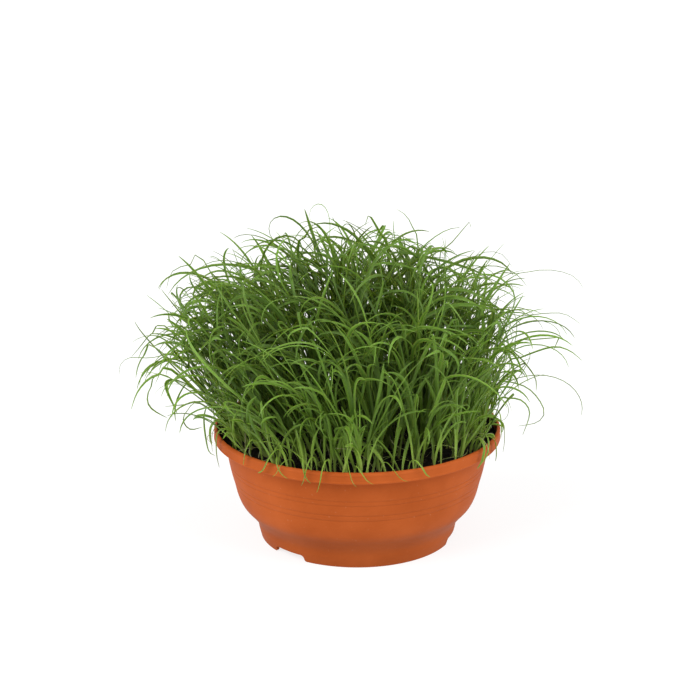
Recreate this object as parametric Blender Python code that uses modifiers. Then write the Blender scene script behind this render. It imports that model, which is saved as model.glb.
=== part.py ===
"""Potted cat grass: a moulded bowl planter, the soil in it and the tufts that grow from the soil.

Metres, +Z up. The origin is at the middle of the pot's underside and the front of the plant faces -Y.
"""

import math
import random

import bmesh
import bpy
from mathutils import Matrix, Vector
from mathutils.kdtree import KDTree

# Driving dimensions of the pot
RIM_RADIUS = 0.1159
POT_HEIGHT = 0.0926
WALL = 0.0020
RIM_THICKNESS = 0.0030
LIP_ROUND = 0.0024
BAND_HEIGHT = 0.0091
SHOULDER_RADIUS = 0.1066
SHOULDER_DROP = 0.0035
FOOT_RADIUS = 0.0790
FOOT_THICKNESS = 0.0026
FLOOR_HEIGHT = 0.0090
EDGE = 0.0006
TURN_STEPS = 40
BAND_FOOT = POT_HEIGHT - BAND_HEIGHT
LIP_SHOULDER = 0.3 * LIP_ROUND

# The arches in the foot let water out from under the floor
ARCHES = 3
ARCH_WIDTH = 0.0310
ARCH_HEIGHT = 0.0054
ARCH_CORNER = 0.0038
ARCH_DEPTH = 0.0240
FIRST_ARCH_ANGLE = math.radians(-133)

# The holes in the floor
DRAIN_HOLES = 3
DRAIN_RADIUS = 0.0055
DRAIN_CIRCLE = 0.0600
DRAIN_SIDES = 12

# The soil stands this high, and neighbours keep this gap
SOIL_TOP = 0.0850
GAP = 0.0003

# The tufts stand in a spiral that spreads them evenly over the soil
TUFTS = 40
BED_RADIUS = 0.0980
GOLDEN_ANGLE = math.pi * (3 - math.sqrt(5))
CROWN_RADIUS = 0.0075
CROWN_TAPER = 0.85
CROWN_HEIGHT = 0.0020

# The blades of a tuft: their section, and the steps of their lines that become facets
BLADES = 5
BLADE_WIDTH = 0.0031
ROOT_WIDTH = 0.75
WIDEST_AT = 0.35
TAPER_POWER = 0.8
KEEL_DEPTH = 0.0012
EDGE_RISE = 0.4
BLADE_INSET = 0.0011
ROOT_SHARE = 0.56
FINE_STEPS = 24
FACET_STEPS = (0, 8, 14, 18, 21, 24)

# How blades grow: tilts and turns in radians, the share of a tilt that is kept towards the front and back,
# how closely tilts gather at the bed's edge, and lengths at its middle, at its edge and what its front loses
EDGE_LEAN = math.radians(28)
TUFT_LEAN = math.radians(6)
LEAN_SPREAD = math.radians(9.5)
LEFT_LEAN = math.radians(5.5)
DEPTH_LEAN = 0.5
LEAN_GATHER = 0.8
MIDDLE_LENGTH = 0.228
EDGE_LENGTH = 0.145
FRONT_LOSS = 0.045
LENGTH_SHARES = (0.80, 1.10)
BENDS = (math.radians(35), math.radians(150))
LATENESS = (2.0, 4.0)
SWEEP_SPREAD = math.radians(35)
SEED = 91

# The rounded dome that the plant fills above the soil, a little higher on the right than on the left
DOME_HALF_WIDTH = 0.1850
DOME_HALF_DEPTH = 0.1550
DOME_HEIGHT = 0.1780
DOME_SLOPE = 0.09
DOME_FULLNESS = 2.4

# What blades keep clear of: each other, the soil, the rim and the lower wall
BLADE_CLEARANCE = 0.0045
SAMPLE_SPACING = 0.0030
CROWN_SAMPLES = 5
RIM_CLEARANCE = 0.0055
LOWEST_TIP = 0.1000
MOST_TRIES = 4000

# To the left and right few blades reach further than this
STRAY_LEFT = -0.1550
STRAY_RIGHT = 0.1350
STRAY_SHARE = 0.15

TERRACOTTA = (0.50, 0.115, 0.032)
PEAT = (0.012, 0.009, 0.007)
LEAF_GREEN = (0.085, 0.200, 0.030)


def clear_scene():
    for thing in list(bpy.data.objects):
        bpy.data.objects.remove(thing, do_unlink=True)


def make_collection(name):
    collection = bpy.data.collections.new(name)
    bpy.context.scene.collection.children.link(collection)
    return collection


def make_material(name, colour, roughness):
    material = bpy.data.materials.new(name)
    material.use_nodes = True
    shader = material.node_tree.nodes["Principled BSDF"]
    shader.inputs["Base Color"].default_value = (*colour, 1.0)
    shader.inputs["Roughness"].default_value = roughness
    shader.inputs["Metallic"].default_value = 0.0
    return material


def add_object(name, mesh, collection, material=None):
    thing = bpy.data.objects.new(name, mesh)
    collection.objects.link(thing)
    if material:
        mesh.materials.append(material)
    return thing


def object_from_bmesh(name, form, collection, material=None):
    mesh = bpy.data.meshes.new(name)
    form.to_mesh(mesh)
    form.free()
    return add_object(name, mesh, collection, material)


def turned(name, profile, collection, material):
    """A body of revolution. The profile runs down the outer side and comes back up the inner one."""
    mesh = bpy.data.meshes.new(name)
    points = [(radius, 0.0, height) for radius, height in profile]
    edges = [(i, i + 1) for i in range(len(points) - 1)]
    mesh.from_pydata(points, edges, [])
    body = add_object(name, mesh, collection, material)
    screw = body.modifiers.new("Turn", "SCREW")
    screw.axis = "Z"
    screw.angle = 2 * math.pi
    screw.steps = TURN_STEPS
    screw.render_steps = TURN_STEPS
    screw.use_merge_vertices = True
    screw.merge_threshold = 0.00005
    screw.use_smooth_shade = True
    return body


def cut(body, cutter):
    cutter.hide_render = True
    cutter.display_type = "WIRE"
    boolean = body.modifiers.new("Cut " + cutter.name, "BOOLEAN")
    boolean.operation = "DIFFERENCE"
    boolean.solver = "EXACT"
    boolean.object = cutter


def wall_line():
    """The wall's outer face from the shoulder under the rim down to the foot, as radius and height.

    The band round the rim hangs a little way out from the shoulder.
    """
    return [
        (SHOULDER_RADIUS, BAND_FOOT - SHOULDER_DROP),
        (0.1050, 0.0680),
        (0.1025, 0.0558),
        (0.1001, 0.0467),
        (0.0978, 0.0375),
        (0.0943, 0.0296),
        (0.0881, 0.0223),
        (0.0824, 0.0145),
        (0.0806, 0.0070),
    ]


def inner_line():
    """The wall's inner face from the valley up: every second point of the outer line, moved in."""
    rising = [(radius - WALL, height) for radius, height in reversed(wall_line())]
    return rising[2:-1:2]


def ledge_line(gap):
    """The ledge inside the rim, from the wall out to the lip, with a gap over it and before the lip."""
    return [
        (SHOULDER_RADIUS - WALL - gap, BAND_FOOT - SHOULDER_DROP + WALL + gap),
        (RIM_RADIUS - RIM_THICKNESS - gap, BAND_FOOT + EDGE + gap),
    ]


def pot_profile():
    lip = RIM_RADIUS - RIM_THICKNESS
    foot_inside = FOOT_RADIUS - FOOT_THICKNESS
    rim_outside = [
        (lip, POT_HEIGHT),
        (RIM_RADIUS - LIP_ROUND, POT_HEIGHT),
        (RIM_RADIUS - LIP_SHOULDER, POT_HEIGHT - LIP_SHOULDER),
        (RIM_RADIUS, POT_HEIGHT - LIP_ROUND),
        (RIM_RADIUS, BAND_FOOT + EDGE),
        (RIM_RADIUS - EDGE, BAND_FOOT),
    ]
    foot = [
        (FOOT_RADIUS, EDGE),
        (FOOT_RADIUS - EDGE, 0.0),
        (foot_inside, 0.0),
        (foot_inside, FLOOR_HEIGHT),
        (0.0, FLOOR_HEIGHT),
    ]
    inside = [
        (0.0, FLOOR_HEIGHT + WALL),
        (foot_inside, FLOOR_HEIGHT + WALL),
        *inner_line(),
        *ledge_line(0.0),
        (lip, POT_HEIGHT),
    ]
    return rim_outside + wall_line() + foot + inside


def runs_along_top(edge):
    start, end = (vert.co for vert in edge.verts)
    return start.z > 0 and end.z > 0 and start.y * end.y > 0


def arch_cutter(index, collection):
    """A block with its two upper edges rounded, laid across the foot ring."""
    form = bmesh.new()
    bmesh.ops.create_cube(form, size=1.0)
    bmesh.ops.scale(form, vec=(ARCH_DEPTH, ARCH_WIDTH, 2 * ARCH_HEIGHT), verts=form.verts)
    upper = [edge for edge in form.edges if runs_along_top(edge)]
    bmesh.ops.bevel(form, geom=upper, offset=ARCH_CORNER, segments=3, profile=0.5, affect="EDGES")
    cutter = object_from_bmesh(f"arch_{index}", form, collection)
    angle = FIRST_ARCH_ANGLE + index * 2 * math.pi / ARCHES
    cutter.location = (FOOT_RADIUS * math.cos(angle), FOOT_RADIUS * math.sin(angle), 0.0)
    cutter.rotation_euler = (0.0, 0.0, angle)
    return cutter


def drain_cutter(index, collection):
    form = bmesh.new()
    bmesh.ops.create_cone(
        form,
        cap_ends=True,
        segments=DRAIN_SIDES,
        radius1=DRAIN_RADIUS,
        radius2=DRAIN_RADIUS,
        depth=6 * WALL,
    )
    cutter = object_from_bmesh(f"drain_{index}", form, collection)
    angle = FIRST_ARCH_ANGLE + (index + 0.5) * 2 * math.pi / DRAIN_HOLES
    middle = FLOOR_HEIGHT + WALL / 2
    cutter.location = (DRAIN_CIRCLE * math.cos(angle), DRAIN_CIRCLE * math.sin(angle), middle)
    return cutter


def make_pot(collection, cutters):
    pot = turned("pot", pot_profile(), collection, make_material("terracotta_plastic", TERRACOTTA, 0.45))
    for index in range(ARCHES):
        cut(pot, arch_cutter(index, cutters))
    for index in range(DRAIN_HOLES):
        cut(pot, drain_cutter(index, cutters))


def make_soil(collection):
    """The root ball of soil fills the pot and laps over the ledge inside the rim."""
    floor = FLOOR_HEIGHT + WALL + GAP
    side = [(radius - GAP, height) for radius, height in reversed(inner_line())]
    profile = [
        (0.0, SOIL_TOP),
        (RIM_RADIUS - RIM_THICKNESS - GAP, SOIL_TOP),
        *reversed(ledge_line(GAP)),
        *side,
        (FOOT_RADIUS - 2 * WALL, floor),
        (0.0, floor),
    ]
    turned("soil", profile, collection, make_material("peat_soil", PEAT, 0.95))


def blade_line(root, heading, lean, length, bend, late, sweep):
    """Points along a blade that rises from its root and bows over.

    lean is its tilt from upright at the root, bend is what the tilt gains by the tip, and late above 1
    keeps that for the blade's end. sweep is how far it turns aside on the way. Angles are in radians.
    """
    points = [root]
    step = length / FINE_STEPS
    for index in range(FINE_STEPS):
        share = (index + 0.5) / FINE_STEPS
        tilt = lean + bend * share**late
        turn = heading + sweep * share**2
        flat = math.sin(tilt)
        direction = Vector((flat * math.cos(turn), flat * math.sin(turn), math.cos(tilt)))
        points.append(points[-1] + step * direction)
    return points


def tuft_site(index):
    radius = BED_RADIUS * math.sqrt((index + 0.5) / TUFTS)
    angle = index * GOLDEN_ANGLE
    return Vector((radius * math.cos(angle), radius * math.sin(angle), SOIL_TOP + GAP))


def shoot_root(site, index, first_angle):
    """The middle of the shoot on the crown's top, and the direction of its own side of the crown."""
    angle = first_angle + 2 * math.pi * (index + 0.5) / BLADES
    side = Vector((math.cos(angle), math.sin(angle), 0.0))
    return site + ROOT_SHARE * CROWN_RADIUS * side + Vector((0.0, 0.0, CROWN_HEIGHT)), side


def stance(root, side, wander):
    """How a shoot leans, away from the middles of pot and tuft and a little at random, and how long it is."""
    outward = Vector((root.x, root.y, 0.0)) / BED_RADIUS
    share = min(outward.length, 1.0)
    fan = Vector([EDGE_LEAN * part * abs(part)**LEAN_GATHER for part in outward])
    lean = fan + TUFT_LEAN * side + wander
    lean.y *= DEPTH_LEAN
    edge_length = EDGE_LENGTH + FRONT_LOSS * min(outward.y, 0.0)
    return lean, MIDDLE_LENGTH + (edge_length - MIDDLE_LENGTH) * share**1.8


def random_blade(chance, root, side):
    wander = Vector((chance.gauss(-LEFT_LEAN, LEAN_SPREAD), chance.gauss(0, LEAN_SPREAD), 0.0))
    lean, length = stance(root, side, wander)
    return blade_line(
        root,
        heading=math.atan2(lean.y, lean.x),
        lean=lean.length,
        length=length * chance.uniform(*LENGTH_SHARES),
        bend=chance.uniform(*BENDS),
        late=chance.uniform(*LATENESS),
        sweep=chance.gauss(0, SWEEP_SPREAD),
    )


def close_samples(points):
    """Points at an even spacing along the straight runs between the given points."""
    samples = []
    for start, end in zip(points, points[1:]):
        count = math.ceil((end - start).length / SAMPLE_SPACING)
        samples += [start.lerp(end, index / count) for index in range(count)]
    return samples + [points[-1]]


def in_dome(point):
    across = math.hypot(point.x / DOME_HALF_WIDTH, point.y / DOME_HALF_DEPTH)
    up = abs(point.z - SOIL_TOP) / (DOME_HEIGHT + DOME_SLOPE * point.x)
    return across**DOME_FULLNESS + up**DOME_FULLNESS <= 1.0


def lowest_allowed(point):
    """The height a blade must keep at a place: over the soil, over the rim, or hanging outside it."""
    radius = math.hypot(point.x, point.y)
    if radius < RIM_RADIUS - RIM_CLEARANCE:
        return SOIL_TOP + CROWN_HEIGHT
    if radius < RIM_RADIUS + RIM_CLEARANCE:
        return POT_HEIGHT + RIM_CLEARANCE
    return LOWEST_TIP


def strays(samples):
    return not all(STRAY_LEFT < point.x < STRAY_RIGHT for point in samples)


def stays_in_place(samples):
    return all(in_dome(point) and point.z >= lowest_allowed(point) for point in samples)


def tree_of(points):
    tree = KDTree(len(points))
    for index, point in enumerate(points):
        tree.insert(point, index)
    tree.balance()
    return tree


def clears(samples, tree):
    return all(tree.find(point)[2] > BLADE_CLEARANCE for point in samples)


def past_crown(samples):
    """The samples beyond the crown, where shoots of one tuft no longer stand side by side."""
    return samples[CROWN_SAMPLES:]


def grow_blade(chance, root, side, others, siblings):
    """Draws a blade again and again until it clears the other tufts and its own tuft's blades."""
    for _ in range(MOST_TRIES):
        fine = random_blade(chance, root, side)
        line = [fine[step] for step in FACET_STEPS]
        samples = close_samples(line)
        if strays(samples) and chance.random() > STRAY_SHARE:
            continue
        if stays_in_place(samples) and clears(samples, others) and clears(past_crown(samples), siblings):
            return line, samples
    raise ValueError("a shoot has no room to grow")


def grow_tufts():
    """For each tuft its site, the angle of its first shoot and the lines of its blades."""
    chance = random.Random(SEED)
    far_off = [Vector((0.0, 0.0, -1.0))]
    grown = list(far_off)
    tufts = []
    for index in range(TUFTS):
        site = tuft_site(index)
        first_angle = chance.uniform(0.0, 2 * math.pi)
        others = tree_of(grown)
        own = list(far_off)
        lines = []
        for shoot in range(BLADES):
            root, side = shoot_root(site, shoot, first_angle)
            line, samples = grow_blade(chance, root, side, others, tree_of(own))
            lines.append(line)
            own += past_crown(samples)
            grown += samples
        tufts.append((site, first_angle, lines))
    return tufts


def blade_width(share):
    """Width along the blade, 1 at its widest: it grows from the root and tapers past its widest place."""
    fading = max(0.0, share - WIDEST_AT) / (1.0 - WIDEST_AT)
    return min(1.0, ROOT_WIDTH + share) * (1.0 - fading**2) ** TAPER_POWER


def blade_sections(line):
    """Across each inner point of the line three places: the blade's two edges and the keel under it."""
    first = line[1] - line[0]
    across = Vector((-first.y, first.x, 0.0)).normalized()
    sections = []
    for index in range(1, len(line) - 1):
        along = (line[index + 1] - line[index - 1]).normalized()
        across = (across - along * across.dot(along)).normalized()
        upper = along.cross(across)
        breadth = blade_width(FACET_STEPS[index] / FINE_STEPS)
        edge = 0.5 * BLADE_WIDTH * breadth * across
        deep = KEEL_DEPTH * breadth * upper
        ridge = line[index] + EDGE_RISE * deep
        sections.append((ridge + edge, ridge - edge, ridge - deep))
    return sections


def matched(ring, section):
    """The section's places in the turn that brings each nearest to its vertex in the ring before."""
    turns = [section[i:] + section[:i] for i in range(3)]
    return min(turns, key=lambda turn: sum((vert.co - place).length for vert, place in zip(ring, turn)))


def draw_out(form, ring, line):
    """Carries a ring of three vertices along the line and closes it in a point at its end."""
    for section in blade_sections(line):
        following = [form.verts.new(place) for place in matched(ring, section)]
        for i in range(3):
            j = (i + 1) % 3
            form.faces.new((ring[i], ring[j], following[j], following[i]))
        ring = following
    tip = form.verts.new(line[-1])
    for i in range(3):
        form.faces.new((ring[i], ring[(i + 1) % 3], tip))


def make_tuft(name, site, first_angle, lines, collection, material):
    """A low crown whose top has one facet for each shoot, and a blade drawn out of each facet."""
    middle = site + Vector((0.0, 0.0, CROWN_HEIGHT / 2))
    form = bmesh.new()
    bmesh.ops.create_cone(
        form,
        cap_ends=True,
        cap_tris=True,
        segments=BLADES,
        radius1=CROWN_RADIUS,
        radius2=CROWN_TAPER * CROWN_RADIUS,
        depth=CROWN_HEIGHT,
        matrix=Matrix.Translation(middle) @ Matrix.Rotation(first_angle, 4, "Z"),
    )
    facets = [face for face in form.faces if all(vert.co.z > middle.z for vert in face.verts)]
    bmesh.ops.inset_individual(form, faces=facets, thickness=BLADE_INSET)
    for facet in facets:
        centre = facet.calc_center_median()
        line = min(lines, key=lambda points: (points[0] - centre).length)
        ring = list(facet.verts)
        form.faces.remove(facet)
        draw_out(form, ring, line)
    bmesh.ops.triangulate(form, faces=form.faces)
    object_from_bmesh(name, form, collection, material)


def make_grass(collection):
    material = make_material("leaf_green", LEAF_GREEN, 0.5)
    for index, (site, first_angle, lines) in enumerate(grow_tufts()):
        make_tuft(f"tuft_{index + 1:02d}", site, first_angle, lines, collection, material)


def main():
    clear_scene()
    parts = make_collection("potted_cat_grass")
    cutters = make_collection("cutters")
    make_pot(parts, cutters)
    make_soil(parts)
    make_grass(parts)


main()
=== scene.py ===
"""The looks of the potted cat grass: the finished pot, the crumbly soil and every leaf of the tufts.

Metres and radians, +Z up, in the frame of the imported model. The front of the plant faces -Y.
"""

import random
from math import atan, atan2, ceil, cos, hypot, pi, radians, sin, sqrt, tau

import bmesh
import bpy
import numpy as np
from mathutils import Matrix, Vector, noise
from mathutils.kdtree import KDTree


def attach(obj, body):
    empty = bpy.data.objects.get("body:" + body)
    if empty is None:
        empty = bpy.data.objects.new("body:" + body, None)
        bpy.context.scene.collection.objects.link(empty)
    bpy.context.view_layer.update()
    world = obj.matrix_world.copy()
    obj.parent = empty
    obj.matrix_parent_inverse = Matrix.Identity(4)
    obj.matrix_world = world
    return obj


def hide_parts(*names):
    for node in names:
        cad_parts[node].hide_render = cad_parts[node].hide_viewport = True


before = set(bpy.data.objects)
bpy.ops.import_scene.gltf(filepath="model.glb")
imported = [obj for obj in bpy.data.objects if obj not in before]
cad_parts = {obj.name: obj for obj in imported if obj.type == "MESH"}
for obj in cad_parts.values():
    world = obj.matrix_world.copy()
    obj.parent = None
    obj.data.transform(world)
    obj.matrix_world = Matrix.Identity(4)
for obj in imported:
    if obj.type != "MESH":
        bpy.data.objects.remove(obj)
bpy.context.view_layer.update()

# Dimensions of the pot and the soil, as the solids have them
RIM_RADIUS = 0.1159
POT_HEIGHT = 0.0926
WALL = 0.0020
RIM_THICKNESS = 0.0030
LIP_ROUND = 0.0024
LIP_EDGE = 0.0008
BAND_HEIGHT = 0.0091
BAND_FOOT = POT_HEIGHT - BAND_HEIGHT
SHOULDER_RADIUS = 0.1066
SHOULDER_DROP = 0.0035
FOOT_RADIUS = 0.0790
FOOT_THICKNESS = 0.0026
FLOOR_HEIGHT = 0.0090
EDGE = 0.0006
SOIL_TOP = 0.0850
SOIL_DEPTH = 0.0060
GAP = 0.0003

# The wall's outer face between the shoulder and the foot, as radius and height
WALL_POINTS = (
    (0.1050, 0.0680), (0.1025, 0.0558), (0.1001, 0.0467), (0.0978, 0.0375),
    (0.0943, 0.0296), (0.0881, 0.0223), (0.0824, 0.0145), (0.0806, 0.0070),
)
POINTS_ABOVE_FLOOR = 7

# Into how many parts the pot's turn, its curves and its rounded edges are divided
TURN_STEPS = 288
WALL_PARTS = 8
INSIDE_PARTS = 4
BAND_PARTS = 16
LIP_PARTS = 8
EDGE_PARTS = 4
FOOT_EDGE_PARTS = 3
POT_SHARP_ANGLE = radians(30)

# The soil's lumps and grit: their height, how many to the metre, and of their ever finer parts how fast they
# grow flat, how much finer each is than the last, and how many there are
SOIL_RINGS = 90
SOIL_SHARP_ANGLE = radians(60)
SOIL_DIP = 0.0010
LUMP_HEIGHT = 0.0012
LUMP_SCALE = 90
LUMP_PARTS = (1.0, 2.0, 4)
GRIT_HEIGHT = 0.0009
GRIT_SCALE = 420
GRIT_PARTS = (1.0, 2.0, 3)
GRIT_LEVEL = 5.0

# Crumbs lie all over the soil. The powers make most of them small and dark
SOIL_SEED = 5
CRUMBS = 2200
CRUMB_SIZES = (0.0004, 0.0016)
CRUMB_SIZE_POWER = 3
CRUMB_TONE_POWER = 2
CRUMB_REACH = 0.1115
CRUMB_CORNERS = (0.75, 1.25)
CRUMB_FLATNESS = (0.5, 1.0)
CRUMB_LIFT = 0.2

# The arches in the foot and the holes in the floor
ARCHES = 3
ARCH_WIDTH = 0.0310
ARCH_HEIGHT = 0.0054
ARCH_CORNER = 0.0031
ARCH_FLARE = 0.0022
ARCH_PARTS = 6
ARCH_DEPTH = 0.0240
FIRST_ARCH_ANGLE = radians(-133)
DRAIN_HOLES = 3
DRAIN_RADIUS = 0.0055
DRAIN_CIRCLE = 0.0600
DRAIN_SIDES = 32

# The fine rings moulded into the wall, and the bead along the foot of the band
RING_HEIGHTS = (0.0650, 0.0610, 0.0520, 0.0473)
RING_DEPTH = 0.00028
RING_HALF = 0.0006
RING_SAMPLES = 5
BEAD_RISE = 0.00035
BEAD_HEIGHT = 0.0011
BEAD_HALF = 0.0007

# Painted shade down the pot's height and in its rings, and how much of the lip's thickness is clean
PAINTED_SHADES = ((0.0, 0.30), (0.0100, 0.22), (0.0240, 0.34), (0.0330, 0.06), (0.0800, 0.0), (0.1000, 0.0))
RING_PAINTED_SHADE = 0.13
CLEAN_LIP = 0.8

# The tufts' main blades, grown the way the solids are
TUFTS = 40
BED_RADIUS = 0.0980
GOLDEN_ANGLE = pi * (3 - sqrt(5))
CROWN_RADIUS = 0.0075
CROWN_HEIGHT = 0.0020
BLADES = 5
ROOT_SHARE = 0.56
FINE_STEPS = 24
FACET_STEPS = (0, 8, 14, 18, 21, 24)
EDGE_LEAN = radians(28)
TUFT_LEAN = radians(6)
LEAN_SPREAD = radians(9.5)
LEFT_LEAN = radians(5.5)
DEPTH_LEAN = 0.5
LEAN_GATHER = 0.8
MIDDLE_LENGTH = 0.228
EDGE_LENGTH = 0.145
FRONT_LOSS = 0.045
LENGTH_FALL = 1.8
LENGTH_SHARES = (0.80, 1.10)
BENDS = (radians(35), radians(150))
LATENESS = (2.0, 4.0)
SWEEP_SPREAD = radians(35)
BLADE_SEED = 91

# The rounded dome that the plant fills above the soil, a little higher on the right than on the left
DOME_HALF_WIDTH = 0.1850
DOME_HALF_DEPTH = 0.1550
DOME_HEIGHT = 0.1780
DOME_SLOPE = 0.09
DOME_FULLNESS = 2.4

# What the main blades keep clear of
BLADE_CLEARANCE = 0.0045
SAMPLE_SPACING = 0.0030
CROWN_SAMPLES = 5
RIM_CLEARANCE = 0.0055
LOWEST_TIP = 0.1000
STRAY_LEFT = -0.1550
STRAY_RIGHT = 0.1350
STRAY_SHARE = 0.15
MOST_TRIES = 4000

# A leaf's mesh: its rings crowd towards the tip, where it curls most
RING_CORNERS = 4
LEAF_POINTS = 22
LEAF_CROWDING = 1.3
LEAF_SHARES = 1.0 - (1.0 - np.linspace(0.0, 1.0, LEAF_POINTS)) ** LEAF_CROWDING
CURL_STEPS = 44
LINE_PARTS = 6
LEAF_SHARP_ANGLE = radians(40)

# A leaf's section: folded along the middle with a keel below, narrower at its foot and sharp at its tip. The
# least rise keeps the first direction across the leaf from being nothing
LEAST_RISE = 1e-6
LEAF_THICKNESS = 0.00028
HAIR_WIDTH = 0.00022
KEEL_SHARE = 0.6
LEAF_FOLD = 0.42
FOOT_BREADTH = 0.65
FULL_BREADTH_FROM = 0.3
TAPER_FROM = 0.78
TAPER_POWER = 0.60
SHEATH_END = 0.45
SHEATH_FOLD = 0.75
SHEATH_THICKNESS = 0.0016

# The shoots of a tuft with their own leaves, and how the shoots stand together
LEAF_SEED = 14
LEAF_TRIES = 40
MAIN_LEAVES = 4
LEAF_WIDTHS = (0.0019, 0.0036)
LEAF_TINTS = (0.05, 0.90)
LEAF_TWIST = 0.8
GATHER = 0.35
GATHER_HEIGHT = 0.030
ROOT_DEPTH = 0.0015
EXTRA_SHOOTS = 3
EXTRA_FRONT = 0.8
EXTRA_LEAVES = 3
EXTRA_SPREAD = 0.0180
EXTRA_PLACES = (0.15, 1.0)
EXTRA_REACH = 0.1080
EXTRA_LENGTHS = (0.65, 1.10)
YOUNG_SHOOTS = 1
RIM_SHOOTS = 90
RIM_SHOOT_PLACES = (0.0960, 0.1105)
YOUNG_LEAVES = 2
YOUNG_LENGTHS = (0.035, 0.085)
YOUNG_HEADING_SPREAD = 1.2
YOUNG_LEAN = radians(16)
YOUNG_BENDS = (radians(20), radians(110))
YOUNG_LATENESS = (1.2, 2.4)

# How side leaves part from a shoot and bow over, with a few that are threads, loops or kinked
SIDE_LEAF_WIDTHS = (0.50, 1.10)
SIDE_LEAF_TINT_SPREAD = 0.2
SIDE_LEAF_TWIST = 1.2
LEAF_HEADING_SPREAD = radians(72)
LEAF_STARTS = (0.08, 0.60)
LEAF_START_LOSS = 0.5
LEAF_PARTING = (radians(2), radians(18))
LEAF_LENGTHS = (0.65, 1.15)
LEAF_BENDS = (radians(20), radians(175))
LEAF_BEND_POWER = 1.4
LEAF_LATENESS = (2.5, 5.0)
LEAF_SWEEP = radians(40)
THREAD_SHARE = 0.25
THREAD_WIDTHS = (0.0004, 0.0011)
THREAD_BENDS = (radians(70), radians(340))
THREAD_LENGTHS = (0.35, 0.90)
LOOP_SHARE = 0.07
LOOP_BENDS = (radians(240), radians(400))
KINK_SHARE = 0.08
KINKS = (radians(50), radians(110))
KINK_PLACES = (0.35, 0.8)
KINK_SOFTNESS = 0.008

# Dry threads of old leaves that lie curled on the soil
DEAD_CURLS = 4
CURL_HEIGHT = 0.001
CURL_TIPPING = (0.3, 1.2)
CURL_LENGTHS = (0.025, 0.060)
CURL_BENDS = (1.2, 4.0)
CURL_LATENESS = (0.8, 1.6)
CURL_SWEEP = 1.5
CURL_WIDTHS = (0.0004, 0.0009)
CURL_DRYNESS = (0.2, 0.9)

# The space that leaves fill round a middle height, wider on the left. Each leaf's room scales it, so that most
# keep inside and a few reach out, and all keep clear of the soil and the rim
LEAF_MIDDLE_HEIGHT = 0.1600
LEAF_LEFT_REACH = 0.1680
LEAF_RIGHT_REACH = 0.1340
LEAF_DEPTH_REACH = 0.1350
LEAF_UPPER_REACH = 0.1020
LEAF_UPPER_SLOPE = 0.06
LEAF_FOOT_REACH = 0.1280
LEAF_FULLNESS = 2.1
LEAF_ROOM = (0.85, 1.18)
LEAF_ROOM_POWER = 1.6
LEAF_SOIL_CLEARANCE = 0.0015
LEAF_RIM_CLEARANCE = 0.0020
LEAF_LOWEST = 0.0880

# How the leaves that are placed one by one are tinted, twisted and sheathed
SINGLE_SEED = 4
SINGLE_TINTS = (0.15, 0.75)
SINGLE_TWIST = 0.5
SINGLE_SHEATH = 0.5

# Those that reach out of the plant, measured off the photograph in mm: the width, the root's x and y, the
# tip's y, and the x and height of the places that the leaf passes
REACHING_LEAVES = (
    (1.2, (-78, -25), -5, ((-145, 151), (-164, 153), (-178, 153), (-185, 150), (-190, 143), (-190, 134))),
    (3.4, (-84, -30), -25, ((-144, 145), (-155, 143), (-165, 138), (-174, 127), (-180, 112))),
    (2.4, (-80, -20), 10, ((-152, 137), (-165, 126), (-169, 113), (-166, 103), (-154, 93))),
    (3.0, (-82, -35), -45, ((-121, 121), (-136, 122), (-151, 122))),
    (2.2, (-88, -25), -10, ((-124, 116), (-136, 109), (-139, 100), (-134, 92), (-124, 93))),
    (2.8, (-76, -10), 10, ((-148, 171), (-163, 169), (-175, 155), (-183, 145))),
    (2.6, (-84, -15), 20, ((-158, 156), (-170, 150), (-177, 138), (-181, 124))),
    (1.8, (-86, -50), -40, ((-113, 122), (-119, 118), (-120, 108), (-119, 94), (-117, 83), (-112, 79))),
    (2.8, (-58, 0), -5, ((-118, 223), (-132, 225), (-144, 222), (-149, 214), (-151, 205))),
    (3.4, (30, 20), 15, ((25, 224), (20, 242), (10, 261), (9, 261), (6, 252))),
    (3.4, (62, 10), -5, ((48, 225), (43, 238), (22, 247), (9, 253), (-2, 258))),
    (2.0, (56, 30), 30, ((49, 228), (44, 249), (38, 259), (30, 264))),
    (2.8, (36, 10), 20, ((45, 224), (49, 232), (60, 242), (72, 249), (84, 251))),
    (3.0, (62, 15), 10, ((66, 224), (72, 235), (82, 248), (89, 257), (90, 257), (89, 251))),
    (3.8, (-48, 20), 15, ((-47, 227), (-42, 241), (-37, 250), (-29, 251), (-20, 242))),
    (1.4, (62, 25), 0, ((83, 211), (92, 226), (103, 233), (115, 232), (124, 221))),
    (1.4, (72, 5), -15, ((96, 206), (129, 218), (150, 222), (168, 219), (177, 211), (177, 206))),
    (2.0, (78, -5), -20, ((117, 181), (126, 185), (150, 189), (164, 189), (177, 181))),
    (2.4, (82, -15), -20, ((117, 146), (127, 152), (153, 162), (167, 160), (179, 151))),
    (2.6, (80, 10), 20, ((125, 154), (137, 158), (162, 160), (163, 159), (159, 147))),
    (3.2, (84, 20), 25, ((116, 148), (129, 144), (140, 132), (146, 122), (147, 111))),
    (2.6, (88, 0), -15, ((111, 125), (126, 128), (140, 122), (150, 107), (145, 98), (128, 95))),
    (2.4, (86, -30), -35, ((110, 121), (117, 124), (129, 123), (136, 113), (131, 94))),
)

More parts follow.
